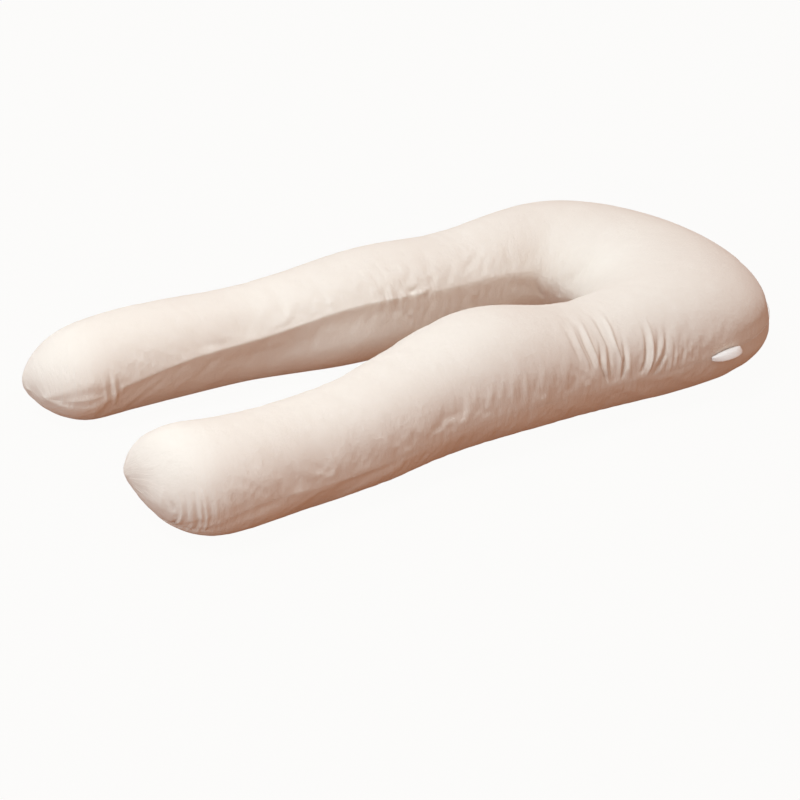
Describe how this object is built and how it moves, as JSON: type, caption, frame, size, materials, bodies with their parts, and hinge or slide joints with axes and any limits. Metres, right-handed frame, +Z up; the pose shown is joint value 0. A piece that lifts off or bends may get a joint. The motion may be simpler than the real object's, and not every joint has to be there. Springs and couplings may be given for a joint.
{
  "type": "body pillow",
  "caption": "U-shaped body pillow: a filled cloth tube bent double, with a narrow gap between its legs, a seam round its sides and a blank sewn-in label.",
  "frame": {"origin": "middle of the whole outline, on the plane the pillow lies on", "axes": "+X from the leg ends towards the bend, +Y from the near leg to the far leg, +Z up from the surface it lies on"},
  "size_m": [1.4228, 0.731, 0.206],
  "materials": {
    "ivory_cloth": "matt, fine plain-weave cotton",
    "white_tape": "matt, smooth woven tape"
  },
  "bodies": {
    "root": {"pillow": "ivory_cloth", "label": "white_tape"}
  },
  "joints": []
}
